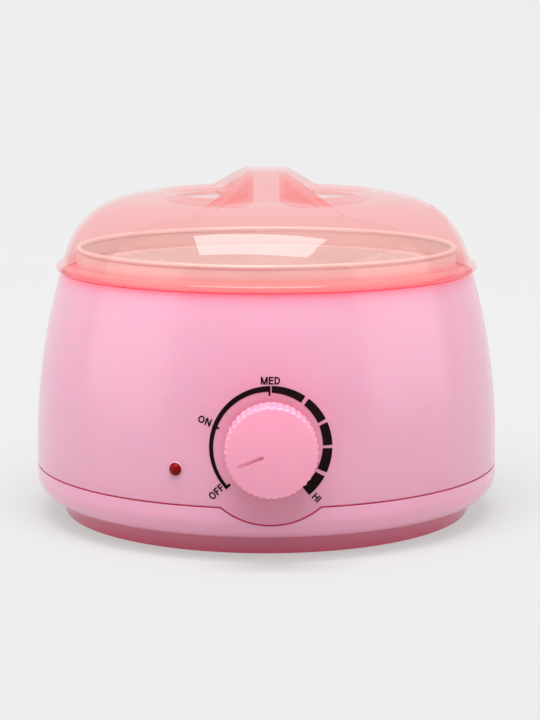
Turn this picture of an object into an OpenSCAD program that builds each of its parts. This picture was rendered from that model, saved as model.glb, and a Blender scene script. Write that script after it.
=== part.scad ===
// Wax warmer: a round moulded body with a heated well, a lift-out wax pot, a see-through lid with a
// bow-tie grip, a front dial and a rear cord entry. Millimetres, +Z up, front towards -Y.
// The origin is on the table, on the body's axis.

/* [Body] */
// Widest radius of the body
body_r = 90; // [86:1:96]
// Height of the deck that the lid rests on
deck_z = 94; // [92:1:100]
// Radius of the long arc of the side, smaller is rounder
side_arc_r = 241; // [220:1:300]
// Wall thickness of the mouldings
wall = 2.5; // [2:0.1:3]
// Height of the parting line
split_z = 19.8; // [18:0.2:22]
// Width of the open parting groove
split_gap = 0.6; // [0.4:0.1:1]
// Height of the well's collar above the deck
collar_h = 9.6; // [8:0.2:10.4]

/* [Dial] */
// Height of the dial axis above the table
dial_z = 42; // [40:0.5:46]
// Radius of the round lobe of the housing below the dial
lobe_r = 28.4; // [26:0.2:29]
// Radius of the control knob
knob_r = 16.2; // [14:0.1:17]
// Depth of the control knob
knob_len = 12.4; // [11:0.1:15]
// Number of flutes around the knob
flute_count = 42; // [30:1:48]
// Way that the pointer shows at rest, in degrees from the right, counterclockwise
pointer_angle = 202; // [160:1:223]

/* [Indicator] */
// Angle of the lamp to the left of the dial
lamp_angle = 21.9; // [20:0.1:30]
// Height of the lamp above the table
lamp_z = 32.6; // [30:0.2:38]
// Radius of the lamp's lens
lens_r = 2.2; // [1.8:0.1:2.6]

/* [Lid] */
// Wall thickness of the lid
lid_wall = 2; // [1.6:0.1:2.2]
// Radius of the dome's shoulder
shoulder_r = 31; // [29:0.5:33]
// Half the width of the grip at its waist
grip_waist = 7; // [6:0.25:9]
// Radius of the grip's hollowed sides in plan
grip_side_r = 94; // [84:1:110]
// Height of the grip's crest above the deck
grip_h = 39.5; // [38:0.5:42]
// Depth of the finger dish beside the grip
dish_depth = 2.3; // [1.5:0.1:3]

/* [Pot] */
// Depth of the wax pot below its rim
pot_depth = 54; // [46:1:56]
// Wall thickness of the pot
pot_wall = 1; // [0.8:0.1:1.4]
// Radius of the pot's bottom corner
pot_corner_r = 8; // [5:0.5:12]

/* [Hidden] */
$fn = 96;
eps = 0.01;

// Outline of the body
widest_z = 25;
band_r = 8.5;
band_z = 7.5;
band_mid_z = 15.7;
plinth_inset = 10.6;
plinth_r = body_r - plinth_inset;
plinth_draft = 0.9;
plinth_z = 0.8;
floor_z = plinth_z + wall;
function side_r(z) = body_r - side_arc_r + sqrt(side_arc_r * side_arc_r - (z - widest_z) * (z - widest_z));
deck_r = round(side_r(deck_z) * 100) / 100;
collar_inset = 6.4;
collar_r = deck_r - collar_inset;
collar_wall = 1.4;
bead_r = 1.1;
tongue_h = 3;
tongue_gap = 0.3;
lobe_depth = 15;
fuse = 0.5;

// Well and pot
bowl_wall = 1.2;
bowl_inset = 8;
bowl_r = collar_r - bowl_inset;
pot_gap = 0.5;
bowl_hole_r = bowl_r + bowl_wall + pot_gap;
pot_r = bowl_r - pot_gap;
pot_rim_inset = 1.7;
pot_rim_r = collar_r - collar_wall - pot_rim_inset;
pot_rim_h = 1.2;
bowl_top_z = deck_z + bowl_wall;
pot_bottom_z = bowl_top_z - pot_depth;
bowl_bottom_z = pot_bottom_z - pot_gap - bowl_wall;

// Screw posts
post_inset = 3.9;
post_ring_r = plinth_r - post_inset;
post_r = 3.4;
post_foot_r = 4.2;
post_meet_z = 32;
post_start_angle = 45;
post_count = 4;
screw_r = 1.5;
screw_gap = 0.2;
screw_head_r = 2.8;
screw_seat_z = 8;
screw_head_h = 2;
screw_tip_z = 44;

// Centre tie of the well
tower_r = 7;
tower_top_z = 28;
stud_r = 2;
stud_hole_r = 2.2;
stud_nut_r = 4.2;
stud_nut_h = 2.6;
stud_nut_gap = 0.3;
stud_nut_top_z = 5;
stud_end_z = 1.6;
spacer_r = 8;

// Foot ring
foot_out_r = 66;
foot_w = 8;
foot_in_r = foot_out_r - foot_w;
foot_groove_h = 1.3;

// Heater band
band_in_r = bowl_r + bowl_wall;
heater_t = 1.8;
heater_out_r = band_in_r + heater_t;
heater_lift = 1;
heater_z = pot_bottom_z + pot_corner_r + heater_lift;
heater_h = 24;
lug_gap = 6;
lug_t = 1.5;
lug_len = 7;
lug_h = 16;
lug_z = heater_z + (heater_h - lug_h) / 2;
lug_screw_r = 1.5;
lug_head_r = 2.8;
lug_head_h = 1.8;
cutoff_r = 5.5;
cutoff_len = 6.5;
tab_w = 3;
tab_t = 0.8;
tab_len = 5;

// Dial parts, measured outwards from the body's axis along the dial axis
thermo_w = 26;
thermo_h = 24;
thermo_len = 12;
boss_depth = 3.2;
thermo_front = side_r(dial_z) - wall - boss_depth;
dial_boss_r = 11;
seat_r = 8;
seat_rise = 0.2;
seat_front = body_r + seat_rise;
bush_r = 4.5;
shaft_r = 3;
shaft_gap = 0.05;
nut_r = 6.5;
nut_len = 2.5;
bush_rise = 0.5;
bush_front = seat_front + nut_len + bush_rise;
knob_gap = 1;
knob_back = body_r + knob_gap;
knob_front = knob_back + knob_len;
knob_face_t = 2.8;
knob_skirt_t = 3.2;
knob_cavity_r = knob_r - knob_skirt_t;
hub_r = 5.6;
shaft_end_gap = 0.4;
shaft_back = thermo_front + shaft_end_gap;
shaft_front = knob_front - knob_face_t + shaft_end_gap;
flute_r = 0.95;
flute_depth = 0.5;
knob_chamfer = 0.6;
pointer_start = 3;
pointer_len = 9.5;
pointer_w = 1.3;
pointer_depth = 0.6;

// Indicator parts, measured outwards from the wall along the lamp axis
lamp_boss_r = 4.8;
lamp_boss_back = -wall - boss_depth;
lens_flange_r = 4;
lens_flange_t = 1.4;
lens_back = lamp_boss_back - lens_flange_t;
lens_rise = 0.3;
lens_gap = 0.05;
holder_len = 6.5;
neon_r = 2;
neon_len = 7.5;

// Cord entry at the back
gland_z = 34;
gland_boss_r = 8.2;
gland_boss_rise = 0.4;
gland_boss_depth = 6;
gland_boss_out = body_r + gland_boss_rise;
gland_boss_in = body_r - gland_boss_depth;
gland_r = 5.5;
gland_bore_r = 3.1;
gland_flange_r = 7.4;
gland_flange_t = 3;
gland_nut_t = 3.5;
gland_in = gland_boss_in - gland_nut_t;

// Terminal block and leads
block_w = 28;
block_len = 12;
block_h = 13;
block_y = 48;
block_screw_r = 2;
block_screw_h = 0.8;
block_pitch = 8;
lead_r = 1.1;
lead_joint_r = 1.3;
lead_x = 5;
lead_pitch = 3;
lead_out = 10;
lead_drop = 6;
lead_sag = 4;
lead_rise = 5;
heater_lead_y = 12;
heater_lead_pitch = 5;
heater_lead_z = 24;
heater_lead_drop = 8;
thermo_lead_x = 46;
thermo_lead_z = 14;
thermo_lead_side = 8;
thermo_lead_ahead = 14;
thermo_lead_low_z = 16;

// Lid outline, outwards from the axis: dish floor, dish fillet, crest, crown, shoulder
lip_r = 1.5;
lip_reach = 1.7;
lip_lift = 0.3;
lip_mid_r = deck_r + lip_reach - lip_r;
lip_mid_z = deck_z + lip_lift + lip_r;
lip_foot_inset = 0.3;
lip_foot_r = deck_r - lip_foot_inset;
lip_edge_h = 1.4;
lip_slope_run = 2;
lip_slope_rise = 1.2;
lip_slope_z = lip_mid_z + lip_edge_h + lip_slope_rise;
shoulder_inset = 31.5;
shoulder_x = deck_r - shoulder_inset;
shoulder_drop = 1.7;
shoulder_z = deck_z - shoulder_drop;
crown_r = 131;
crown_angle = 12.3;
crown_x = shoulder_x - (crown_r - shoulder_r) * sin(crown_angle);
crown_z = shoulder_z - (crown_r - shoulder_r) * cos(crown_angle);
crest_r = 8;
crest_angle = 7.6;
crest_x = crown_x + (crown_r - crest_r) * sin(crest_angle);
crest_z = crown_z + (crown_r - crest_r) * cos(crest_angle);
dish_r = 8;
dish_angle = acos(1 - dish_depth / (crest_r + dish_r));
dish_x = crest_x - (crest_r + dish_r) * sin(dish_angle);
dish_floor_z = crest_z + (crest_r + dish_r) * cos(dish_angle) - dish_r;
grip_crest_z = deck_z + grip_h;
grip_crest_r = 128;
grip_reach = 15.6;
grip_end_r = shoulder_x + grip_reach;
grip_low_z = dish_floor_z - 4 * lid_wall;
seam_lap = 1.5;
seam_rise = 0.002;
slot_angle = -8;
slot_inset = 13.4;
slot_r = deck_r - slot_inset;
slot_len = 7;
slot_w = 1.6;

// Places its children on the dial axis, local Z pointing out of the front.
module on_dial() {
    translate([0, 0, dial_z])
        rotate([90, 0, 0])
            children();
}

// Places its children on the lamp axis, local Z pointing out of the wall, zero at its surface.
module on_lamp() {
    rotate([0, 0, -90 - lamp_angle])
        translate([side_r(lamp_z), 0, lamp_z])
            rotate([0, 90, 0])
                children();
}

// Places its children on the cord axis, local Z pointing out of the back.
module on_gland() {
    translate([0, 0, gland_z])
        rotate([-90, 0, 0])
            children();
}

// Repeats its children at the screw posts.
module at_posts() {
    for (i = [0 : post_count - 1])
        rotate([0, 0, post_start_angle + i * 360 / post_count])
            translate([post_ring_r, 0, 0])
                children();
}

// Upright cylinder between two heights.
module post(radius, low, high) {
    translate([0, 0, low])
        cylinder(r = radius, h = high - low);
}

// Upright ring between two heights.
module ring(inner, outer, low, high) {
    difference() {
        post(outer, low, high);
        post(inner, low - 1, high + 1);
    }
}

// Turns its children's local Z to a direction.
module along(direction) {
    rotate([0, acos(direction[2] / norm(direction)), atan2(direction[1], direction[0])])
        children();
}

// Round wire from point to point, with a short drum across each bend.
module lead(points) {
    for (i = [0 : len(points) - 2]) {
        way = points[i + 1] - points[i];
        translate(points[i])
            along(way)
                cylinder(r = lead_r, h = norm(way), $fn = 24);
        if (i > 0)
            translate(points[i])
                along(cross(points[i] - points[i - 1], way))
                    cylinder(r = lead_joint_r, h = 2 * lead_joint_r, center = true, $fn = 24);
    }
}

// Half section of the body's outside, taken in by a wall thickness.
module body_section(inset) {
    intersection() {
        translate([body_r - side_arc_r, widest_z])
            circle(r = side_arc_r - inset, $fn = 720);
        translate([0, widest_z])
            square([body_r, deck_z - inset - widest_z]);
    }
    translate([0, band_mid_z])
        square([body_r - inset, widest_z - band_mid_z]);
    intersection() {
        translate([body_r - band_r, band_mid_z])
            circle(r = band_r - inset);
        translate([body_r - band_r, band_z + inset])
            square([band_r, band_mid_z - band_z - inset]);
    }
    translate([0, band_z + inset])
        square([body_r - band_r, band_mid_z - band_z - inset]);
}

// Hollow of the whole body, closed at the top by the deck.
module body_shell() {
    rotate_extrude()
        difference() {
            body_section(0);
            body_section(wall);
        }
}

// Round region about the dial axis, through the front wall only.
module dial_lobe(radius) {
    on_dial()
        post(radius, body_r - lobe_depth, body_r + lobe_depth);
}

module upper_housing() {
    color([0.95, 0.66, 0.8])
        difference() {
            union() {
                intersection() {
                    body_shell();
                    union() {
                        post(body_r + wall, split_z + split_gap / 2, deck_z + wall);
                        dial_lobe(lobe_r - split_gap / 2);
                    }
                }
                at_posts()
                    post(post_r, post_meet_z, deck_z - wall + eps);
                on_dial()
                    post(dial_boss_r, thermo_front, side_r(dial_z) - wall / 2);
                on_dial()
                    post(seat_r, side_r(dial_z) - wall / 2, seat_front);
                on_lamp()
                    post(lamp_boss_r, lamp_boss_back, -wall + fuse);
                on_gland()
                    post(gland_boss_r, gland_boss_in, gland_boss_out);
            }
            post(bowl_hole_r, deck_z - wall - 1, deck_z + 1);
            at_posts()
                post(screw_r, post_meet_z - 1, screw_tip_z);
            on_dial()
                post(bush_r, thermo_front - 1, seat_front + 1);
            on_lamp()
                post(lens_r + lens_gap, lamp_boss_back - 1, wall);
            on_gland()
                post(gland_r, gland_boss_in - 1, gland_boss_out + 1);
        }
}

module base_pan() {
    color([0.93, 0.62, 0.77])
        difference() {
            union() {
                difference() {
                    union() {
                        intersection() {
                            rotate_extrude()
                                body_section(0);
                            post(body_r + wall, band_z, split_z - split_gap / 2);
                        }
                        translate([0, 0, plinth_z])
                            cylinder(
                                r1 = plinth_r,
                                r2 = plinth_r + plinth_draft,
                                h = band_z - plinth_z + eps
                            );
                    }
                    rotate_extrude()
                        body_section(wall);
                    post(plinth_r - wall, floor_z, split_z);
                }
                ring(body_r - 2 * wall, body_r - wall - tongue_gap, split_z - tongue_h, split_z + tongue_h);
                ring(body_r - 2 * wall, body_r - wall + fuse, band_mid_z, split_z - split_gap / 2);
                at_posts()
                    post(post_r, floor_z - eps, post_meet_z);
                at_posts()
                    post(post_foot_r, floor_z - eps, screw_seat_z + wall);
                post(tower_r, floor_z - eps, tower_top_z);
            }
            dial_lobe(lobe_r + split_gap / 2);
            ring(foot_in_r, foot_out_r, plinth_z - 1, plinth_z + foot_groove_h);
            at_posts()
                post(screw_r + screw_gap, 0, post_meet_z + 1);
            at_posts()
                post(screw_head_r, 0, screw_seat_z);
            post(stud_hole_r, 0, tower_top_z + 1);
            post(stud_nut_r, 0, stud_nut_top_z);
        }
}

module foot_ring() {
    color([0.15, 0.15, 0.16])
        ring(foot_in_r, foot_out_r, 0, plinth_z + foot_groove_h);
}

module base_screws() {
    color([0.7, 0.7, 0.72])
        at_posts() {
            post(screw_head_r, screw_seat_z - screw_head_h, screw_seat_z);
            post(screw_r, screw_seat_z - eps, screw_tip_z);
        }
}

// Half section of a round vessel with a rounded bottom corner.
module vessel_section(radius, corner, low, high) {
    square_low = low + corner;
    translate([0, square_low])
        square([radius, high - square_low]);
    translate([0, low])
        square([radius - corner, corner]);
    intersection() {
        translate([radius - corner, square_low])
            circle(r = corner);
        translate([radius - corner, low])
            square([corner, corner]);
    }
}

module heater_bowl() {
    corner = pot_corner_r + pot_gap;
    color([0.75, 0.76, 0.78])
        rotate_extrude()
            difference() {
                union() {
                    vessel_section(bowl_r + bowl_wall, corner + bowl_wall, bowl_bottom_z, bowl_top_z);
                    translate([0, deck_z])
                        square([collar_r, bowl_wall]);
                    translate([collar_r - collar_wall, deck_z])
                        square([collar_wall, collar_h - bead_r]);
                    translate([collar_r - collar_wall / 2, deck_z + collar_h - bead_r])
                        circle(r = bead_r);
                }
                vessel_section(bowl_r, corner, bowl_bottom_z + bowl_wall, bowl_top_z + 1);
            }
}

module bowl_stud() {
    color([0.72, 0.72, 0.74])
        post(stud_r, stud_end_z, bowl_bottom_z);
}

module stud_nut() {
    color([0.78, 0.78, 0.8])
        difference() {
            translate([0, 0, stud_nut_top_z - stud_nut_h])
                cylinder(r = stud_nut_r - stud_nut_gap, h = stud_nut_h, $fn = 6);
            post(stud_r, 0, stud_nut_top_z + 1);
        }
}

module heat_spacer() {
    color([0.9, 0.88, 0.82])
        ring(stud_hole_r, spacer_r, tower_top_z, bowl_bottom_z);
}

module heater_band() {
    color([0.62, 0.6, 0.56])
        difference() {
            union() {
                difference() {
                    ring(band_in_r, heater_out_r, heater_z, heater_z + heater_h);
                    translate([-heater_out_r - 1, -lug_gap / 2, heater_z - 1])
                        cube([lug_gap + heater_t, lug_gap, heater_h + 2]);
                }
                for (side = [-1, 1])
                    translate([-heater_out_r - lug_len, side * (lug_gap + lug_t) / 2 - lug_t / 2, lug_z])
                        cube([lug_len + heater_t / 2, lug_t, lug_h]);
            }
            translate([-heater_out_r - lug_len / 2, 0, lug_z + lug_h / 2])
                rotate([90, 0, 0])
                    cylinder(r = lug_screw_r, h = lug_gap + 4 * lug_t, center = true);
        }
}

module band_screw() {
    grip_len = lug_gap + 2 * lug_t;
    color([0.7, 0.7, 0.72])
        translate([-heater_out_r - lug_len / 2, 0, lug_z + lug_h / 2])
            rotate([90, 0, 0]) {
                cylinder(r = lug_screw_r, h = grip_len + 2 * eps, center = true);
                translate([0, 0, grip_len / 2])
                    cylinder(r = lug_head_r, h = lug_head_h);
                translate([0, 0, -grip_len / 2 - lug_head_h])
                    cylinder(r = lug_head_r, h = lug_head_h, $fn = 6);
            }
}

module thermal_cutoff() {
    color([0.2, 0.19, 0.18])
        difference() {
            translate([band_in_r, 0, heater_z + heater_h / 2])
                rotate([0, 90, 0])
                    cylinder(r = cutoff_r, h = heater_t + cutoff_len);
            post(heater_out_r, heater_z, heater_z + heater_h);
        }
}

module cutoff_tabs() {
    low_z = heater_z + heater_h / 2 - tab_w / 2;
    color([0.8, 0.72, 0.45])
        for (side = [-1, 1])
            translate([heater_out_r + cutoff_len, side * tab_w - tab_t / 2, low_z])
                cube([tab_len, tab_t, tab_w]);
}

module thermostat_body() {
    color([0.88, 0.86, 0.8])
        translate([-thermo_w / 2, -thermo_front, dial_z - thermo_h / 2])
            cube([thermo_w, thermo_len, thermo_h]);
}

module thermostat_tabs() {
    low_z = dial_z - thermo_h / 2 - tab_len;
    color([0.8, 0.72, 0.45])
        for (side = [-1, 1])
            translate([side * block_pitch - tab_w / 2, -thermo_front + thermo_len / 2, low_z])
                cube([tab_w, tab_t, tab_len]);
}

module thermostat_bush() {
    color([0.8, 0.68, 0.38])
        on_dial()
            ring(shaft_r + shaft_gap, bush_r, thermo_front, bush_front);
}

module dial_nut() {
    color([0.78, 0.78, 0.8])
        on_dial()
            difference() {
                translate([0, 0, seat_front])
                    cylinder(r = nut_r, h = nut_len, $fn = 6);
                post(bush_r, seat_front - 1, seat_front + nut_len + 1);
            }
}

module indicator_lens() {
    color([0.6, 0.05, 0.06])
        on_lamp() {
            post(lens_flange_r, lens_back, lamp_boss_back);
            post(lens_r, lamp_boss_back - eps, lens_rise);
            translate([0, 0, lens_rise])
                intersection() {
                    translate([0, 0, -lens_r / 2])
                        sphere(r = lens_r * sqrt(5) / 2);
                    post(lens_r, -eps, lens_r);
                }
        }
}

module lamp_holder() {
    color([0.2, 0.2, 0.21])
        on_lamp()
            ring(neon_r, lens_flange_r, lens_back - holder_len, lens_back);
}

module neon_lamp() {
    color([0.9, 0.5, 0.35])
        on_lamp()
            post(neon_r, lens_back - neon_len, lens_back);
}

module cord_gland() {
    color([0.12, 0.12, 0.13])
        on_gland()
            difference() {
                union() {
                    post(gland_flange_r, gland_boss_out, gland_boss_out + gland_flange_t);
                    post(gland_r, gland_in, gland_boss_out + eps);
                }
                post(gland_bore_r, gland_in - 1, gland_boss_out + gland_flange_t + 1);
            }
}

module gland_nut() {
    color([0.18, 0.18, 0.19])
        on_gland()
            ring(gland_r, gland_flange_r, gland_in, gland_boss_in);
}

module terminal_block() {
    color([0.9, 0.9, 0.88])
        translate([-block_w / 2, block_y, floor_z])
            cube([block_w, block_len, block_h]);
}

module terminal_screws() {
    color([0.8, 0.72, 0.45])
        for (i = [-1 : 1])
            translate([i * block_pitch, block_y + block_len / 4, 0])
                post(block_screw_r, floor_z + block_h, floor_z + block_h + block_screw_h);
}

module mains_leads() {
    start_x = (gland_r + gland_flange_r) / 2;
    lead_y = block_y + block_len * 3 / 4;
    block_top_z = floor_z + block_h;
    color([0.45, 0.25, 0.15])
        for (side = [-1, 1])
            lead([
                [side * start_x, gland_in, gland_z],
                [side * start_x, gland_in - lead_rise, gland_z],
                [side * lead_x, block_y + block_len + lead_drop, gland_z - lead_sag],
                [side * lead_x, lead_y, block_top_z + lead_rise],
                [side * lead_x, lead_y, block_top_z]
            ]);
}

module heater_leads() {
    lead_y = block_y + block_len / 2;
    lead_z = floor_z + block_h / 2;
    lug_x = -heater_out_r - lug_len / 2;
    turn_x = -post_ring_r + lead_out;
    color([0.75, 0.72, 0.65])
        for (side = [-1, 1])
            lead([
                [-block_w / 2, lead_y + side * lead_pitch, lead_z + side * lead_pitch],
                [-block_w / 2 - lead_out, lead_y + side * lead_pitch, lead_z + side * lead_pitch],
                [turn_x, heater_lead_y + side * heater_lead_pitch, heater_lead_z + side * lead_pitch],
                [lug_x, side * (lug_gap + lug_t) / 2, lug_z - heater_lead_drop],
                [lug_x, side * (lug_gap + lug_t) / 2, lug_z]
            ]);
}

module thermostat_leads() {
    lead_y = block_y + block_len / 2;
    lead_z = floor_z + block_h / 2;
    tab_y = -thermo_front + thermo_len / 2 + tab_t / 2;
    tab_z = dial_z - thermo_h / 2 - tab_len;
    color([0.2, 0.3, 0.6])
        for (side = [-1, 1])
            lead([
                [block_w / 2, lead_y + side * lead_pitch, lead_z + side * lead_pitch],
                [block_w / 2 + lead_out, lead_y + side * lead_pitch, lead_z + side * lead_pitch],
                [thermo_lead_x + side * lead_pitch, 0, thermo_lead_z],
                [side * block_pitch + thermo_lead_side, tab_y + thermo_lead_ahead, thermo_lead_low_z],
                [side * block_pitch, tab_y, tab_z - lead_drop],
                [side * block_pitch, tab_y, tab_z]
            ]);
}

// Outline of the knob seen along its axis, with its flutes.
module fluted_disc() {
    difference() {
        circle(r = knob_r);
        for (i = [0 : flute_count - 1])
            rotate(i * 360 / flute_count)
                translate([knob_r + flute_r - flute_depth, 0])
                    circle(r = flute_r, $fn = 24);
    }
}

module control_knob() {
    color([0.95, 0.64, 0.76])
        on_dial()
            difference() {
                union() {
                    difference() {
                        intersection() {
                            translate([0, 0, knob_back])
                                linear_extrude(knob_len)
                                    fluted_disc();
                            union() {
                                post(knob_r + 1, knob_back, knob_front - knob_chamfer);
                                translate([0, 0, knob_front - knob_chamfer - eps])
                                    cylinder(
                                        r1 = knob_r,
                                        r2 = knob_r - knob_chamfer,
                                        h = knob_chamfer + 2 * eps
                                    );
                            }
                        }
                        post(knob_cavity_r, knob_back - 1, knob_front - knob_face_t);
                    }
                    post(hub_r, bush_front + shaft_end_gap, knob_front - knob_face_t + eps);
                }
                post(shaft_r, bush_front - 1, shaft_front);
                rotate([0, 0, pointer_angle])
                    translate([pointer_start, -pointer_w / 2, knob_front - pointer_depth])
                        cube([pointer_len, pointer_w, pointer_depth + 1]);
            }
}

module thermostat_shaft() {
    color([0.75, 0.75, 0.77])
        on_dial()
            post(shaft_r, shaft_back, shaft_front);
}

module wax_pot() {
    rim_top_z = bowl_top_z + pot_rim_h;
    color([0.82, 0.83, 0.85])
        rotate_extrude()
            difference() {
                union() {
                    vessel_section(pot_r, pot_corner_r, pot_bottom_z, rim_top_z);
                    translate([0, bowl_top_z])
                        square([pot_rim_r, pot_rim_h]);
                }
                vessel_section(
                    pot_r - pot_wall,
                    pot_corner_r - pot_wall,
                    pot_bottom_z + pot_wall,
                    rim_top_z + 1
                );
            }
}

// Upright strip of a half section between two radii.
module strip(from, to, low, high) {
    translate([from, low])
        square([to - from, high - low]);
}

// Half section under the dome's outside, taken in by a wall thickness. Neighbouring pieces overlap, and
// each arc stands a hair proud of the edge of its neighbour, so that they join without a crack.
module dome_section(inset, low) {
    fillet_end = dish_x + (dish_r + inset) * sin(dish_angle);
    crest_end = crest_x + (crest_r - inset) * sin(crest_angle);
    crown_end = shoulder_x + (shoulder_r - inset) * sin(crown_angle);
    strip(0, dish_x + seam_lap, low, dish_floor_z - inset + seam_rise);
    difference() {
        strip(dish_x, fillet_end, low, dish_floor_z + dish_r);
        translate([dish_x, dish_floor_z + dish_r])
            circle(r = dish_r + inset);
    }
    intersection() {
        translate([crest_x, crest_z])
            circle(r = crest_r - inset + seam_rise);
        strip(fillet_end - seam_lap, crest_end + seam_lap, crest_z, crest_z + crest_r + 1);
    }
    strip(fillet_end - seam_lap, crest_end + seam_lap, low, crest_z + seam_lap);
    intersection() {
        translate([crown_x, crown_z])
            circle(r = crown_r - inset, $fn = 720);
        strip(crest_end, crown_end, low, crown_z + crown_r + 1);
    }
    intersection() {
        translate([shoulder_x, shoulder_z])
            circle(r = shoulder_r - inset + seam_rise, $fn = 240);
        strip(crown_end - seam_lap, shoulder_x + shoulder_r + 1, low, shoulder_z + shoulder_r + 1);
    }
}

// Bow-tie grip, taken in by a wall thickness.
module grip(inset) {
    difference() {
        intersection() {
            translate([0, 0, grip_crest_z - grip_crest_r])
                rotate([0, 90, 0])
                    cylinder(r = grip_crest_r - inset, h = 2 * body_r, center = true, $fn = 360);
            post(grip_end_r - inset, grip_low_z, grip_crest_z + 1);
        }
        for (side = [-1, 1])
            translate([side * (grip_waist + grip_side_r), 0, 0])
                post(grip_side_r + inset, grip_low_z - 1, grip_crest_z + 2);
    }
}

module lid() {
    color([1, 0.62, 0.56, 0.55])
        difference() {
            union() {
                rotate_extrude()
                    dome_section(0, deck_z);
                rotate_extrude() {
                    translate([lip_mid_r, lip_mid_z])
                        circle(r = lip_r, $fn = 48);
                    translate([shoulder_x, deck_z])
                        square([lip_foot_r - shoulder_x, lip_mid_z - deck_z]);
                    polygon([
                        [shoulder_x, lip_mid_z - lip_r / 2],
                        [lip_mid_r, lip_mid_z - lip_r / 2],
                        [lip_mid_r, lip_mid_z + lip_edge_h],
                        [lip_mid_r - lip_slope_run, lip_slope_z],
                        [shoulder_x, lip_slope_z]
                    ]);
                }
                grip(0);
            }
            rotate_extrude()
                dome_section(lid_wall, deck_z - 1);
            grip(lid_wall);
            rotate([0, 0, slot_angle])
                translate([slot_r - slot_len / 2, -slot_w / 2, shoulder_z + shoulder_r / 2])
                    cube([slot_len, slot_w, shoulder_r]);
        }
}

upper_housing();
base_pan();
foot_ring();
base_screws();
heater_bowl();
bowl_stud();
stud_nut();
heat_spacer();
heater_band();
band_screw();
thermal_cutoff();
cutoff_tabs();
thermostat_body();
thermostat_tabs();
thermostat_bush();
dial_nut();
indicator_lens();
lamp_holder();
neon_lamp();
cord_gland();
gland_nut();
terminal_block();
terminal_screws();
mains_leads();
heater_leads();
thermostat_leads();
control_knob();
thermostat_shaft();
wax_pot();
lid();
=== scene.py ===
import math

import bpy
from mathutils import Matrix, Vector


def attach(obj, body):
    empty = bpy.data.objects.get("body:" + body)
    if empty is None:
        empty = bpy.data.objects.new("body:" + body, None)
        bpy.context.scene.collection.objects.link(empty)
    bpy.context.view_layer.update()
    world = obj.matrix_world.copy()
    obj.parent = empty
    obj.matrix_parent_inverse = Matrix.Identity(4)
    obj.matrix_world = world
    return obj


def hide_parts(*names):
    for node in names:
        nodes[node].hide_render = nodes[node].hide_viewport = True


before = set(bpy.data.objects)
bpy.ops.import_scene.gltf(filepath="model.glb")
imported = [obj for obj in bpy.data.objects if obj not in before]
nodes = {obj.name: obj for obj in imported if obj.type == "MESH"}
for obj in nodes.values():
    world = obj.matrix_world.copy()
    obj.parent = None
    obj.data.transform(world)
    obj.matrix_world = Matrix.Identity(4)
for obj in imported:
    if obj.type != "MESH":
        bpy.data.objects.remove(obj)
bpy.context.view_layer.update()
scene = bpy.context.scene
scene.view_settings.view_transform = "Standard"
scene.cycles.max_bounces = 32
scene.cycles.diffuse_bounces = 12
scene.cycles.glossy_bounces = 12
scene.cycles.transmission_bounces = 24
MM = 0.001

# Sizes of the part that the looks, the print and the knob follow, in millimetres
BODY_R = 90
WIDEST_Z = 25
SIDE_ARC_R = 241
DIAL_Z = 42
KNOB_BACK = 91
KNOB_FRONT = 103.4
KNOB_R = 16.2
DECK_Z = 94
SPLIT_Z = 19.8
LOBE_R = 28.4
BAND_R = 8.5
BAND_MID_Z = 15.7
LIP_H = 4.4
BEAD_Z = 101.8
PLINTH_Z = 7.5


def link(obj):
    scene.collection.objects.link(obj)
    return obj


def mesh_object(name, points, faces):
    """New smooth mesh from points in millimetres."""
    mesh = bpy.data.meshes.new(name)
    mesh.from_pydata([Vector(p) * MM for p in points], [], faces)
    mesh.shade_smooth()
    return link(bpy.data.objects.new(name, mesh))


def wall_r(z):
    """Radius of the housing's side at a height."""
    if z < WIDEST_Z:
        return BODY_R
    return BODY_R - SIDE_ARC_R + math.sqrt(SIDE_ARC_R ** 2 - (z - WIDEST_Z) ** 2)


# Materials

# Levels between which nearly all of a noise lies
NOISE_LOW = 0.3
NOISE_HIGH = 0.7
BEVEL_SAMPLES = 6
LID_BEVEL_SAMPLES = 8
CORNER_SAMPLES = 8


def new_material(name, **values):
    mat = bpy.data.materials.new(name)
    mat.use_nodes = True
    shader = mat.node_tree.nodes["Principled BSDF"]
    for key, value in values.items():
        shader.inputs[key.replace("_", " ")].default_value = value
    return mat, mat.node_tree, shader


def noise(tree, scale, detail=2, stretch=(1, 1, 1)):
    """Noise in the part's own coordinates, scale per metre."""
    coords = tree.nodes.new("ShaderNodeTexCoord")
    mapping = tree.nodes.new("ShaderNodeMapping")
    mapping.inputs["Scale"].default_value = stretch
    texture = tree.nodes.new("ShaderNodeTexNoise")
    texture.inputs["Scale"].default_value = scale
    texture.inputs["Detail"].default_value = detail
    tree.links.new(coords.outputs["Object"], mapping.inputs["Vector"])
    tree.links.new(mapping.outputs["Vector"], texture.inputs["Vector"])
    return texture.outputs[0]


def object_axis(tree, axis):
    """One of the part's own coordinates, in metres."""
    coords = tree.nodes.new("ShaderNodeTexCoord")
    axes = tree.nodes.new("ShaderNodeSeparateXYZ")
    tree.links.new(coords.outputs["Object"], axes.inputs[0])
    return axes.outputs[axis]


def span(tree, source, start, end, low=0, high=1):
    """Level that goes from low to high while the source goes from start to end."""
    node = tree.nodes.new("ShaderNodeMapRange")
    ends = (("From Min", start), ("From Max", end), ("To Min", low), ("To Max", high))
    for key, value in ends:
        node.inputs[key].default_value = value
    tree.links.new(source, node.inputs["Value"])
    return node.outputs[0]


def ramp(tree, source, *stops):
    """Colour that follows the source through stops of position and colour."""
    node = tree.nodes.new("ShaderNodeValToRGB")
    elements = node.color_ramp.elements
    while len(elements) < len(stops):
        elements.new(0.5)
    for element, (position, colour) in zip(elements, stops):
        element.position = position
        element.color = colour
    tree.links.new(source, node.inputs[0])
    return node.outputs[0]


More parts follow.
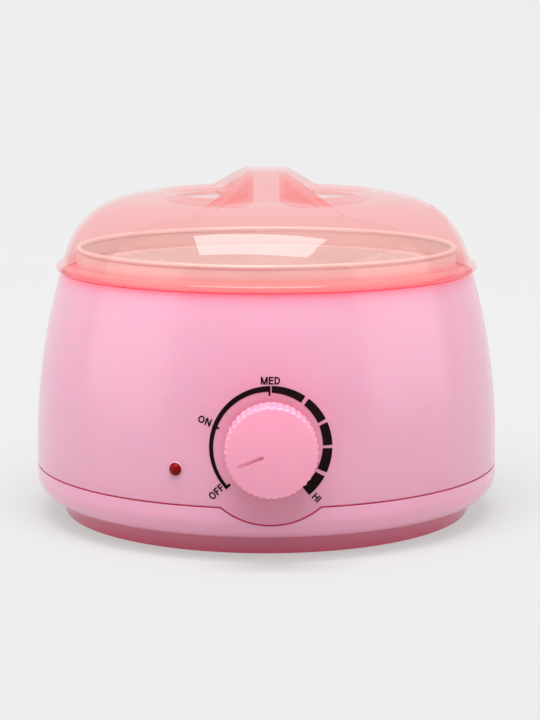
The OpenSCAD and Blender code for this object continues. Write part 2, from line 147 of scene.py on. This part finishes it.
def vary_colour(tree, shader, source, first, second):
    colour = ramp(tree, source, (NOISE_LOW, first), (NOISE_HIGH, second))
    tree.links.new(colour, shader.inputs["Base Color"])


def vary_roughness(tree, shader, source, low, high):
    level = span(tree, source, NOISE_LOW, NOISE_HIGH, low, high)
    tree.links.new(level, shader.inputs["Roughness"])


def rounded_normal(tree, radius, samples):
    """Normal that goes round sharp edges, by a radius in metres."""
    node = tree.nodes.new("ShaderNodeBevel")
    node.samples = samples
    node.inputs["Radius"].default_value = radius
    return node.outputs[0]


def bump(tree, shader, source, strength, depth, edge=0):
    """Relief from a source, over edges rounded by a radius in metres."""
    node = tree.nodes.new("ShaderNodeBump")
    node.inputs["Strength"].default_value = strength
    node.inputs["Distance"].default_value = depth
    tree.links.new(source, node.inputs["Height"])
    if edge:
        tree.links.new(rounded_normal(tree, edge, BEVEL_SAMPLES), node.inputs["Normal"])
    tree.links.new(node.outputs[0], shader.inputs["Normal"])


def blend_colour(mat, factor, low=None, high=None):
    """Base colour so far, mixed with another one that stands at a factor of 0 or of 1."""
    tree = mat.node_tree
    base = tree.nodes["Principled BSDF"].inputs["Base Color"]
    mix = tree.nodes.new("ShaderNodeMix")
    mix.data_type = "RGBA"
    tree.links.new(factor, mix.inputs["Factor"])
    for side, colour in (("A", low), ("B", high)):
        if colour:
            mix.inputs[side].default_value = colour
        else:
            tree.links.new(base.links[0].from_socket, mix.inputs[side])
    tree.links.new(mix.outputs["Result"], base)


def paint_corner_shade(mat, shade_colour, reach, own_shape=False):
    """Painted shade: colour that deepens in corners, by all that is near or by the node's shape
    alone.
    """
    near = mat.node_tree.nodes.new("ShaderNodeAmbientOcclusion")
    near.samples = CORNER_SAMPLES
    near.only_local = own_shape
    near.inputs["Distance"].default_value = reach
    blend_colour(mat, near.outputs["AO"], low=shade_colour)


def paint_shade_by_height(mat, colour, start, full):
    """Painted shade: colour that turns into another one from a height to the next, in
    millimetres.
    """
    tree = mat.node_tree
    share = span(tree, object_axis(tree, "Z"), start * MM, full * MM)
    blend_colour(mat, share, high=colour)


def plastic(name, first, second, low, high, edge, **values):
    """Moulding from two colours, two roughnesses and the radius of its edges."""
    mat, tree, shader = new_material(name, **values)
    vary_colour(tree, shader, noise(tree, 28, 3), first, second)
    vary_roughness(tree, shader, noise(tree, 160, 3), low, high)
    bump(tree, shader, noise(tree, 2600, 1), 0.035, 0.0001, edge)
    return mat


def metal(name, first, second, low, high, stretch, depth, metallic=1):
    """Metal from two colours, two roughnesses and the stretch and depth of its grain."""
    mat, tree, shader = new_material(name, Metallic=metallic)
    vary_colour(tree, shader, noise(tree, 60, 3), first, second)
    grain = noise(tree, 900, 4, stretch)
    vary_roughness(tree, shader, grain, low, high)
    bump(tree, shader, grain, 0.12, depth)
    return mat


def small_gloss(name, first, second, low, high, **values):
    """Smooth finish of a small piece, from two colours and two roughnesses."""
    mat, tree, shader = new_material(name, **values)
    vary_colour(tree, shader, noise(tree, 300), first, second)
    vary_roughness(tree, shader, noise(tree, 700), low, high)
    return mat


SHELL = {
    "Coat_Weight": 0.35, "Coat_Roughness": 0.05,
    "Subsurface_Weight": 0.5, "Subsurface_Scale": 0.003,
}
PINK = plastic(
    "pink_moulding", (0.745, 0.362, 0.492, 1), (0.765, 0.376, 0.506, 1),
    0.16, 0.22, 0.0005, **SHELL,
)
# Painted shade: the housing's pink deepens in corners, as under the knob and the lid's lip
paint_corner_shade(PINK, (0.7, 0.07, 0.17, 1), 0.03)
# Painted light: the base's pink is lighter than the housing's, standing in for light from the
# floor
BASE_PINK_PAINTED_LIGHT = plastic(
    "pink_base_painted_light", (0.81, 0.366, 0.515, 1), (0.83, 0.38, 0.53, 1),
    0.16, 0.22, 0.0005, **SHELL,
)
# Painted shade: the plinth below the band turns a deeper pink
paint_shade_by_height(BASE_PINK_PAINTED_LIGHT, (0.68, 0.155, 0.265, 1), PLINTH_Z + 2.5, 1)
# Painted shade: deeper pink in corners, as under the band and round the plinth
paint_corner_shade(BASE_PINK_PAINTED_LIGHT, (0.5, 0.03, 0.09, 1), 0.0115)
KNOB_PINK = plastic(
    "pink_knob", (0.9, 0.35, 0.495, 1), (0.92, 0.365, 0.51, 1), 0.2, 0.27, 0.0002,
    Coat_Weight=0.2, Coat_Roughness=0.08, Subsurface_Weight=0.4, Subsurface_Scale=0.002,
)
# Painted shade: deep pink for the strip that stands in for the parting groove's shade
GROOVE_SHADE = plastic(
    "painted_groove_shade", (0.66, 0.035, 0.13, 1), (0.72, 0.045, 0.15, 1), 0.5, 0.6, 0,
    Specular_IOR_Level=0.1,
)
RUBBER = plastic(
    "rubber", (0.012, 0.012, 0.014, 1), (0.02, 0.02, 0.022, 1), 0.6, 0.8, 0.0002,
)
BLACK = plastic(
    "black_plastic", (0.015, 0.015, 0.017, 1), (0.022, 0.022, 0.024, 1), 0.35, 0.5, 0.0003,
)
IVORY = plastic(
    "ivory_plastic", (0.72, 0.7, 0.62, 1), (0.78, 0.76, 0.69, 1), 0.4, 0.55, 0.0003,
)
BROWN = plastic("brown_lead", (0.16, 0.05, 0.02, 1), (0.2, 0.07, 0.03, 1), 0.4, 0.5, 0)
WHITE = plastic("white_lead", (0.6, 0.56, 0.46, 1), (0.68, 0.64, 0.54, 1), 0.5, 0.65, 0)
BLUE = plastic("blue_lead", (0.03, 0.07, 0.3, 1), (0.05, 0.1, 0.36, 1), 0.4, 0.5, 0)
STEEL = metal(
    "steel", (0.56, 0.56, 0.58, 1), (0.66, 0.66, 0.68, 1), 0.2, 0.35, (1, 1, 4), 0.00005,
)
BRASS = metal(
    "brass", (0.62, 0.44, 0.14, 1), (0.72, 0.54, 0.2, 1), 0.2, 0.35, (1, 1, 4), 0.00005,
)
POT = metal(
    "spun_aluminium", (0.9, 0.88, 0.86, 1), (0.95, 0.93, 0.91, 1),
    0.2, 0.28, (1, 1, 9), 0.00002, 0.75,
)
WELL = metal(
    "matt_aluminium", (0.92, 0.86, 0.8, 1), (0.97, 0.91, 0.85, 1),
    0.4, 0.5, (1, 1, 6), 0.00002, 0.3,
)
# Painted shade: the well's inside, which faces itself, turns darker
paint_corner_shade(WELL, (0.5, 0.3, 0.28, 1), 0.2, own_shape=True)
# Painted shade: the top of the rolled bead turns a darker metal, which dims its highlight
paint_shade_by_height(WELL, (0.72, 0.6, 0.55, 1), BEAD_Z - 0.4, BEAD_Z + 0.6)
HEATER = metal(
    "heater_sheet", (0.32, 0.3, 0.27, 1), (0.42, 0.4, 0.36, 1),
    0.4, 0.6, (3, 3, 1), 0.00005,
)
LENS = small_gloss(
    "red_lens", (0.16, 0.001, 0.001, 1), (0.22, 0.0015, 0.0015, 1), 0.06, 0.12,
    Coat_Weight=0.12, Coat_Roughness=0.03, Specular_IOR_Level=0.05,
)
NEON = small_gloss(
    "lamp_glass", (0.85, 0.4, 0.25, 1), (0.9, 0.5, 0.32, 1), 0.04, 0.1,
    Transmission_Weight=0.8, IOR=1.5,
)

CLEAR, clear_tree, clear_shader = new_material(
    "clear_salmon", Transmission_Weight=0.91, IOR=1.001,
    Coat_Weight=1, Coat_IOR=1.5, Coat_Roughness=0.02,
)
vary_roughness(clear_tree, clear_shader, noise(clear_tree, 45, 3), 0.01, 0.03)
bump(clear_tree, clear_shader, noise(clear_tree, 22, 2), 0.04, 0.0006)
# Painted deeper tint along the sharp edges, for the longer way through the wall where the eye
# looks down its length
true_side = clear_tree.nodes.new("ShaderNodeNewGeometry")
turned = clear_tree.nodes.new("ShaderNodeVectorMath")
turned.operation = "DOT_PRODUCT"
clear_tree.links.new(
    rounded_normal(clear_tree, 0.0007, LID_BEVEL_SAMPLES), turned.inputs[0],
)
clear_tree.links.new(true_side.outputs["Normal"], turned.inputs[1])
painted_edge_tint = ramp(
    clear_tree, turned.outputs["Value"],
    (0.72, (1, 0.7, 0.7, 1)), (0.97, (1, 0.76, 0.755, 1)),
)
clear_tree.links.new(painted_edge_tint, clear_shader.inputs["Base Color"])
tint = clear_tree.nodes.new("ShaderNodeVolumeAbsorption")
tint.inputs["Color"].default_value = (0.995, 0.03, 0.03, 1)
tint.inputs["Density"].default_value = 12
output = clear_tree.nodes["Material Output"]
clear_tree.links.new(tint.outputs[0], output.inputs["Volume"])

LIP_TOP_Z = DECK_Z + LIP_H
above_lip = span(
    clear_tree, object_axis(clear_tree, "Z"), (LIP_TOP_Z - 1) * MM, (LIP_TOP_Z + 1) * MM,
)


def tinted_pane(lip, dome):
    """Plain pane in two tints, as the lip is thicker than the dome."""
    node = clear_tree.nodes.new("ShaderNodeBsdfTransparent")
    tints = ramp(clear_tree, above_lip, (0, lip), (1, dome))
    clear_tree.links.new(tints, node.inputs["Color"])
    return node.outputs[0]


# Lamps and scattered light shine through a light pane. Rays that are on their way
# through the lid, or that come off the metal, meet its further walls as a deeper one.
light_pane = tinted_pane((0.98, 0.5, 0.57, 1), (1, 0.97, 0.95, 1))
far_pane = tinted_pane((1, 0.64, 0.65, 1), (1, 0.815, 0.815, 1))
PANES = {
    "Is Glossy Ray": far_pane,
    "Is Shadow Ray": light_pane,
    "Is Diffuse Ray": light_pane,
}
rays = clear_tree.nodes.new("ShaderNodeLightPath")
surface = clear_shader.outputs[0]
for ray, pane in PANES.items():
    choice = clear_tree.nodes.new("ShaderNodeMixShader")
    clear_tree.links.new(rays.outputs[ray], choice.inputs[0])
    clear_tree.links.new(surface, choice.inputs[1])
    clear_tree.links.new(pane, choice.inputs[2])
    surface = choice.outputs[0]
clear_tree.links.new(surface, output.inputs["Surface"])

INK = plastic(
    "black_print", (0.007, 0.003, 0.003, 1), (0.011, 0.005, 0.005, 1), 0.5, 0.6, 0,
    Specular_IOR_Level=0.03,
)

DRESS = {
    PINK: ("upper_housing",),
    BASE_PINK_PAINTED_LIGHT: ("base_pan",),
    KNOB_PINK: ("control_knob",),
    RUBBER: ("foot_ring",),
    STEEL: (
        "base_screws", "bowl_stud", "stud_nut", "band_screw", "dial_nut", "thermostat_shaft",
    ),
    BRASS: ("cutoff_tabs", "thermostat_tabs", "thermostat_bush", "terminal_screws"),
    POT: ("wax_pot",),
    WELL: ("heater_bowl",),
    HEATER: ("heater_band",),
    BLACK: ("thermal_cutoff", "lamp_holder", "cord_gland", "gland_nut"),
    IVORY: ("heat_spacer", "thermostat_body", "terminal_block"),
    BROWN: ("mains_leads",),
    WHITE: ("heater_leads",),
    BLUE: ("thermostat_leads",),
    LENS: ("indicator_lens",),
    NEON: ("neon_lamp",),
    CLEAR: ("lid",),
}
for mat, names in DRESS.items():
    for name in names:
        nodes[name].data.materials.clear()
        nodes[name].data.materials.append(mat)


# Knob, with a domed face, a rounded front edge and flutes that run out on it

FLUTES = 42
FLUTE_STEPS = 8
FLUTE_DEPTH = 0.38
FLUTE_HALF_WIDTH = 0.9
EDGE_R = 0.8
EDGE_STEPS = 6
DOME_RISE = 1.1
FACE_STEPS = 8
FACE_WALL = 2.8
SIDE_STEPS = 4
HOLLOW_R = KNOB_R - 3.2
BACK_ROUND = 0.7
# Rows of the rounded back edge: inset from the rim, depth from the back, share of the flutes
BACK_EDGE = ((0.6, 0, 0.3), (0.1, 0.3, 0.8))
POINTER_ANGLE = 202
POINTER_SHARP = 50


def flute(index):
    """How deep the flutes are at a step round the rim, 0 to 1."""
    pitch = 2 * math.pi * KNOB_R / FLUTES
    place = (index % FLUTE_STEPS) / FLUTE_STEPS - 0.5
    return max(0, 1 - (place * pitch / FLUTE_HALF_WIDTH) ** 2)


def knob_profile():
    """Rows of radius, depth along the axis and share of the flutes, from back to face."""
    edge_z = KNOB_FRONT - DOME_RISE - EDGE_R
    rows = [(HOLLOW_R, KNOB_BACK, 0)]
    rows += [(KNOB_R - inset, KNOB_BACK + depth, share) for inset, depth, share in BACK_EDGE]
    for i in range(SIDE_STEPS + 1):
        side = (edge_z - KNOB_BACK - BACK_ROUND) * i / SIDE_STEPS
        rows.append((KNOB_R, KNOB_BACK + BACK_ROUND + side, 1))
    face_r = KNOB_R - EDGE_R
    for i in range(1, EDGE_STEPS + 1):
        turn = math.radians(90 / EDGE_STEPS * i)
        share = 1 - i / EDGE_STEPS / 4
        rows.append((face_r + EDGE_R * math.cos(turn), edge_z + EDGE_R * math.sin(turn), share))
    for i in range(FACE_STEPS):
        r = (face_r - 1) * (1 - i / FACE_STEPS)
        rows.append((r, KNOB_FRONT - DOME_RISE * (r / face_r) ** 2, 0))
    return rows


def knob_point(reach, turn, depth):
    return reach * math.cos(turn), -depth, DIAL_Z + reach * math.sin(turn)


def make_knob():
    count = FLUTES * FLUTE_STEPS
    turns = [2 * math.pi * i / count for i in range(count)]
    rows = knob_profile()
    points, faces = [], []
    for r, depth, share in rows:
        for i, turn in enumerate(turns):
            points.append(knob_point(r - FLUTE_DEPTH * share * flute(i), turn, depth))
    for k in range(len(rows) - 1):
        near, far = k * count, (k + 1) * count
        for i in range(count):
            j = (i + 1) % count
            faces.append((near + i, near + j, far + j, far + i))
    points.append((0, -KNOB_FRONT, DIAL_Z))
    last = (len(rows) - 1) * count
    faces += [(last + i, last + (i + 1) % count, len(points) - 1) for i in range(count)]
    # Hollow behind the face
    back = len(points)
    inner = KNOB_FRONT - FACE_WALL
    points += [knob_point(HOLLOW_R, turn, inner) for turn in turns]
    for i in range(count):
        j = (i + 1) % count
        faces.append((i, back + i, back + j, j))
    points.append((0, -inner, DIAL_Z))
    faces += [(back + i, len(points) - 1, back + (i + 1) % count) for i in range(count)]
    return mesh_object("knob_cap", points, faces)


def slot_cutter(start, end, half, depth):
    """Round-ended bar that cuts the pointer into the knob's face, along its way at rest."""
    outline = []
    for middle, first in ((end - half, -90), (start + half, 90)):
        for i in range(13):
            turn = math.radians(first + 15 * i)
            outline.append((middle + half * math.cos(turn), half * math.sin(turn)))
    c, s = math.cos(math.radians(POINTER_ANGLE)), math.sin(math.radians(POINTER_ANGLE))
    points = []
    for y in (KNOB_FRONT + 1, KNOB_FRONT - depth):
        points += [(u * c - v * s, -y, DIAL_Z + u * s + v * c) for u, v in outline]
    n = len(outline)
    faces = [tuple(range(n)), tuple(range(2 * n - 1, n - 1, -1))]
    faces += [(i, n + i, n + (i + 1) % n, (i + 1) % n) for i in range(n)]
    return mesh_object("slot_cutter", points, faces)


knob_cap = make_knob()
cutter = slot_cutter(start=3, end=12.5, half=0.6, depth=1)
cut = knob_cap.modifiers.new("pointer", "BOOLEAN")
cut.operation = "DIFFERENCE"
cut.object = cutter
cut.solver = "EXACT"
cut_knob = knob_cap.evaluated_get(bpy.context.evaluated_depsgraph_get())
cut_mesh = bpy.data.meshes.new_from_object(cut_knob)
knob_cap.modifiers.clear()
knob_cap.data = cut_mesh
cut_mesh.shade_smooth()
cut_mesh.set_sharp_from_angle(angle=math.radians(POINTER_SHARP))
bpy.data.objects.remove(cutter)
cut_mesh.materials.clear()
cut_mesh.materials.append(KNOB_PINK)
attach(knob_cap, "knob")
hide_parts("control_knob")


# Raised edge of the lamp's hole

LAMP_ANGLE = 21.9
LAMP_Z = 32.6
RING_R = 2.5
RING_TUBE = 0.3
RING_STEPS = 48
TUBE_STEPS = 10


def make_lamp_ring():
    turn = math.radians(LAMP_ANGLE)
    out = Vector((-math.sin(turn), -math.cos(turn), 0))
    side = Vector((math.cos(turn), -math.sin(turn), 0))
    up = Vector((0, 0, 1))
    wall = wall_r(LAMP_Z)
    points, faces = [], []
    for i in range(RING_STEPS):
        a = 2 * math.pi * i / RING_STEPS
        away = side * math.cos(a) + up * math.sin(a)
        for j in range(TUBE_STEPS):
            b = 2 * math.pi * j / TUBE_STEPS
            reach = away * (RING_R + RING_TUBE * math.cos(b))
            fall = (reach.dot(side)) ** 2 / 2 / BODY_R
            points.append(up * LAMP_Z + out * (wall - fall + RING_TUBE * math.sin(b)) + reach)
    for i in range(RING_STEPS):
        here, there = i * TUBE_STEPS, (i + 1) % RING_STEPS * TUBE_STEPS
        for j in range(TUBE_STEPS):
            k = (j + 1) % TUBE_STEPS
            faces.append((here + j, there + j, there + k, here + k))
    return mesh_object("lamp_ring", points, faces)


lamp_ring = make_lamp_ring()
# Painted highlight: the ring takes the lighter knob pink, without the housing's painted corner
# shade, so it shows as a pale rim
lamp_ring.data.materials.append(KNOB_PINK)
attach(lamp_ring, "base")


# Painted shade of the parting groove: a deep pink strip at the groove's bottom, which dips
# under the dial's lobe

GROOVE_HALF = 0.35
GROOVE_DEPTH = 0.4
GROOVE_STEPS = 720


def parting_z(x, front, side):
    """Height of one side of the parting groove: -1 for the lower one, 1 for the upper one."""
    level = SPLIT_Z + side * GROOVE_HALF
    lobe_r = LOBE_R - side * GROOVE_HALF
    if not front or abs(x) >= lobe_r:
        return level
    return min(level, DIAL_Z - math.sqrt(lobe_r ** 2 - x ** 2))


def band_edge_r(z):
    """Radius of the body near the parting line."""
    if z > BAND_MID_Z:
        return BODY_R
    return BODY_R - BAND_R + math.sqrt(BAND_R ** 2 - (BAND_MID_Z - z) ** 2)


def make_shade_strip():
    points, faces = [], []
    for i in range(GROOVE_STEPS):
        turn = 2 * math.pi * i / GROOVE_STEPS
        for side in (-1, 1):
            z = parting_z(BODY_R * math.sin(turn), math.cos(turn) > 0, side)
            r = band_edge_r(z) - GROOVE_DEPTH
            points.append((r * math.sin(turn), -r * math.cos(turn), z))
    count = len(points)
    for i in range(0, count, 2):
        faces.append((i, (i + 2) % count, (i + 3) % count, i + 1))
    return mesh_object("groove_shade_strip", points, faces)


shade_strip = make_shade_strip()
shade_strip.data.materials.append(GROOVE_SHADE)
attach(shade_strip, "base")


# Dial print, laid on the wall as seen square on from the front

PRINT_Z = 41.3
PRINT_R = 21.6
PRINT_LIFT = 0.06
ACROSS_STEPS = 3
# Angles of the two halves of the scale, from OFF to MED and from MED to HI
OFF_ANGLE = 223
BEFORE_MED = 91
AFTER_MED = 88
HI_ANGLE = -51.6
BARS = ((56, 89.2), (27, 52), (1.5, 23.6), (-25, -1.5), (HI_ANGLE, -29))
# Angle, depth and width of each tick
TICKS = ((222.3, 2.3, 1), (160, 2.4, 0.8), (91.4, 3.4, 0.8))


def on_wall(right, up):
    """Point of the front wall, from the middle of the print."""
    z = PRINT_Z + up
    return right, -math.sqrt((wall_r(z) + PRINT_LIFT) ** 2 - right ** 2), z


def arc_strip(start, end, inner):
    """Curved bar between two angles in degrees; inner gives its inner radius at an angle."""
    steps = max(2, int((end - start) / 2))
    points, faces = [], []
    for i in range(steps + 1):
        angle = start + (end - start) * i / steps
        turn = math.radians(angle)
        for j in range(ACROSS_STEPS + 1):
            r = inner(angle) + (PRINT_R - inner(angle)) * j / ACROSS_STEPS
            points.append(on_wall(r * math.cos(turn), r * math.sin(turn)))
    for i in range(steps):
        for j in range(ACROSS_STEPS):
            a = i * (ACROSS_STEPS + 1) + j
            b = a + ACROSS_STEPS + 1
            faces.append((a, a + 1, b + 1, b))
    return points, faces


def join(shapes):
    points, faces = [], []
    for shape_points, shape_faces in shapes:
        base = len(points)
        points += shape_points
        faces += [tuple(base + i for i in face) for face in shape_faces]
    return points, faces


def scale_inner(angle):
    """Inner radius of the scale, whose width grows from OFF round to HI."""
    if angle > 90:
        width = 1.2 + (OFF_ANGLE - angle) / (OFF_ANGLE - BEFORE_MED) * 0.8
    else:
        width = 2.4 + (AFTER_MED - angle) / (AFTER_MED - HI_ANGLE) * 1.6
    return PRINT_R - width


def tick(angle, depth, width):
    half = math.degrees(width / 2 / PRINT_R)
    return arc_strip(angle - half, angle + half, lambda a: PRINT_R - depth)


arcs = [arc_strip(BEFORE_MED, OFF_ANGLE, scale_inner)]
arcs += [tick(*sizes) for sizes in TICKS]
arcs += [arc_strip(start, end, scale_inner) for start, end in BARS]
dial_scale = mesh_object("dial_scale", *join(arcs))
dial_scale.data.materials.append(INK)
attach(dial_scale, "base")


# Letters of the dial, drawn in strokes

LETTER_H = 2.65
# The rest is in letter heights
LETTER_GAP = 0.13
STROKE = 0.19
BAR = STROKE / 2


def upright(x):
    return [(x, 0), (x, 1)]


def level_bar(y, end):
    return [(0, y), (end, y)]


def bow(middle, half, angles):
    """Line round an ellipse of the letter's height."""
    turns = [math.radians(a) for a in angles]
    return [
        (middle + half * math.cos(turn), 0.5 + (0.5 - BAR) * math.sin(turn)) for turn in turns
    ]


D_BOW = [(0, 1 - BAR)] + bow(0.3, 0.44 - BAR, range(90, -91, -15)) + [(0, BAR)]
# Width of each letter, then its lines
LETTERS = {
    "D": (0.74, [upright(BAR), D_BOW]),
    "E": (0.64, [
        upright(BAR), level_bar(1 - BAR, 0.64), level_bar(0.52, 0.6), level_bar(BAR, 0.64),
    ]),
    "F": (0.6, [upright(BAR), level_bar(1 - BAR, 0.6), level_bar(0.5, 0.52)]),
    "H": (0.74, [upright(BAR), upright(0.74 - BAR), level_bar(0.52, 0.74)]),
    "I": (STROKE, [upright(BAR)]),
    "M": (0.9, [
        upright(BAR), [(BAR, 1), (0.45, 0)], [(0.45, 0), (0.9 - BAR, 1)], upright(0.9 - BAR),
    ]),
    "N": (0.76, [upright(BAR), [(BAR, 1), (0.76 - BAR, 0)], upright(0.76 - BAR)]),
    "O": (0.86, [bow(0.43, 0.43 - BAR, range(0, 361, 15))]),
}


def stroke(line):
    """Strip of the pen's width along a line."""
    points = []
    for i, (x, y) in enumerate(line):
        before, after = line[max(i - 1, 0)], line[min(i + 1, len(line) - 1)]
        along = Vector((after[0] - before[0], after[1] - before[1])).normalized() * BAR
        points += [(x - along.y, y + along.x), (x + along.y, y - along.x)]
    return points, [(2 * i, 2 * i + 1, 2 * i + 3, 2 * i + 2) for i in range(len(line) - 1)]


def label(text, right, up, turn):
    """Word of the dial, centred on a place of the print."""
    shapes, start = [], 0
    for letter in text:
        width, lines = LETTERS[letter]
        for points, faces in map(stroke, lines):
            shapes.append(([(x + start, y) for x, y in points], faces))
        start += width + LETTER_GAP
    letter_points, faces = join(shapes)
    middle = (start - LETTER_GAP) / 2
    c = math.cos(math.radians(turn)) * LETTER_H
    s = math.sin(math.radians(turn)) * LETTER_H
    points = []
    for x, y in letter_points:
        u, v = x - middle, y - 0.5
        points.append(on_wall(right + u * c - v * s, up + u * s + v * c))
    piece = mesh_object("label_" + text.lower(), points, faces)
    piece.data.materials.append(INK)
    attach(piece, "base")


label("MED", -0.1, 23.4, 0)
label("ON", -23.1, 9.1, -20)
label("OFF", -19.1, -15.9, 45)
label("HI", 16.1, -18, -45)


# Stage, a floor that curves up into a back wall, in metres

FLOOR_HALF_W = 4
FLOOR_FRONT_Y = -3
COVE_Y = 0.9
COVE_R = 0.8
WALL_TOP_Z = 3
# Glow of the paper, from the front edge of the picture to the wall
GLOW_FRONT_Y = -0.2
GLOW_BACK_Y = 1.8
GLOW = ((0, 0.44), (0.4, 0.59), (0.63, 0.645), (1, 0.685))

cove = [(FLOOR_FRONT_Y, 0), (COVE_Y, 0)]
for angle in range(10, 91, 10):
    turn = math.radians(angle)
    cove.append((COVE_Y + COVE_R * math.sin(turn), COVE_R - COVE_R * math.cos(turn)))
cove.append((COVE_Y + COVE_R, WALL_TOP_Z))
floor_points, floor_faces = [], []
for y, z in cove:
    for x in (-FLOOR_HALF_W, FLOOR_HALF_W):
        floor_points.append((x / MM, y / MM, z / MM))
for i in range(len(cove) - 1):
    floor_faces.append((2 * i, 2 * i + 1, 2 * i + 3, 2 * i + 2))
floor = mesh_object("studio_floor", floor_points, floor_faces)
PAPER, paper_tree, paper_shader = new_material(
    "studio_paper", Roughness=0.7, Specular_IOR_Level=0.1, Emission_Color=(1, 1, 1, 1),
)
vary_colour(
    paper_tree, paper_shader, noise(paper_tree, 3),
    (0.2, 0.2, 0.2, 1), (0.205, 0.205, 0.205, 1),
)
way_back = span(paper_tree, object_axis(paper_tree, "Y"), GLOW_FRONT_Y, GLOW_BACK_Y)
glow = ramp(paper_tree, way_back, *((at, (level, level, level, 1)) for at, level in GLOW))
paper_tree.links.new(glow, paper_shader.inputs["Emission Strength"])
floor.data.materials.append(PAPER)


# Sky of the studio, dim low down behind the camera

world = bpy.data.worlds.new("studio")
world.use_nodes = True
sky = world.node_tree
sky_way = sky.nodes.new("ShaderNodeTexCoord")
sky_axes = sky.nodes.new("ShaderNodeSeparateXYZ")
sky.links.new(sky_way.outputs["Generated"], sky_axes.inputs[0])


def sky_span(axis, start, end, first, last):
    """Level that goes smoothly from first to last along an axis of the sky."""
    level = span(sky, sky_axes.outputs[axis], start, end, first, last)
    level.node.interpolation_type = "SMOOTHSTEP"
    return level


def sky_math(operation, first, second):
    node = sky.nodes.new("ShaderNodeMath")
    node.operation = operation
    sky.links.new(first, node.inputs[0])
    sky.links.new(second, node.inputs[1])
    return node.outputs[0]


away_from_camera = sky_math(
    "MAXIMUM", sky_span("Y", -0.95, -0.4, 0.25, 1), sky_span("Z", 0.2, 0.5, 0.25, 1),
)
brightness = sky_math("MULTIPLY", away_from_camera, sky_span("Z", 0, 0.7, 0.55, 0.45))
sky.links.new(brightness, sky.nodes["Background"].inputs["Strength"])
sky.nodes["Background"].inputs["Color"].default_value = (1, 1, 1, 1)
scene.world = world


# Lights, in metres and watts

def softbox(name, place, aim, width, height, power, mirrored=True):
    light = bpy.data.lights.new(name, "AREA")
    light.shape = "RECTANGLE"
    light.size = width
    light.size_y = height
    light.energy = power
    obj = link(bpy.data.objects.new(name, light))
    obj.location = place
    obj.rotation_euler = (Vector(aim) - Vector(place)).to_track_quat("-Z", "Y").to_euler()
    obj.visible_camera = False
    obj.visible_glossy = mirrored


softbox("top_box", (-0.073, -0.42, 1.02), (0, 0, 0.09), 0.98, 0.56, 11)
softbox("overhead_box", (0, -0.16, 1.25), (0, -0.1, 0.09), 0.8, 0.25, 9, mirrored=False)
softbox("front_box", (0, -1.35, 1.05), (0, 0, 0.08), 1.8, 0.7, 1)
softbox("left_box", (-1.3, -0.35, 0.5), (0, 0, 0.08), 1.3, 1.0, 3)
softbox("right_box", (1.3, -0.35, 0.5), (0, 0, 0.08), 1.3, 1.0, 3.6)


# Camera, as fitted to the photo, in metres and degrees

CAMERA_AWAY = 0.7448
CAMERA_Z = 0.1794
CAMERA_SWING = 0.97
CAMERA_TILT = 9.27
CAMERA_PAN = -1.075

camera_data = bpy.data.cameras.new("camera")
camera_data.sensor_width = 36
camera_data.lens = 95.96
camera = link(bpy.data.objects.new("camera", camera_data))
swing = math.radians(CAMERA_SWING)
camera.location = (-CAMERA_AWAY * math.sin(swing), -CAMERA_AWAY * math.cos(swing), CAMERA_Z)
camera.rotation_euler = (math.radians(90 - CAMERA_TILT), 0, math.radians(CAMERA_PAN))
scene.camera = camera
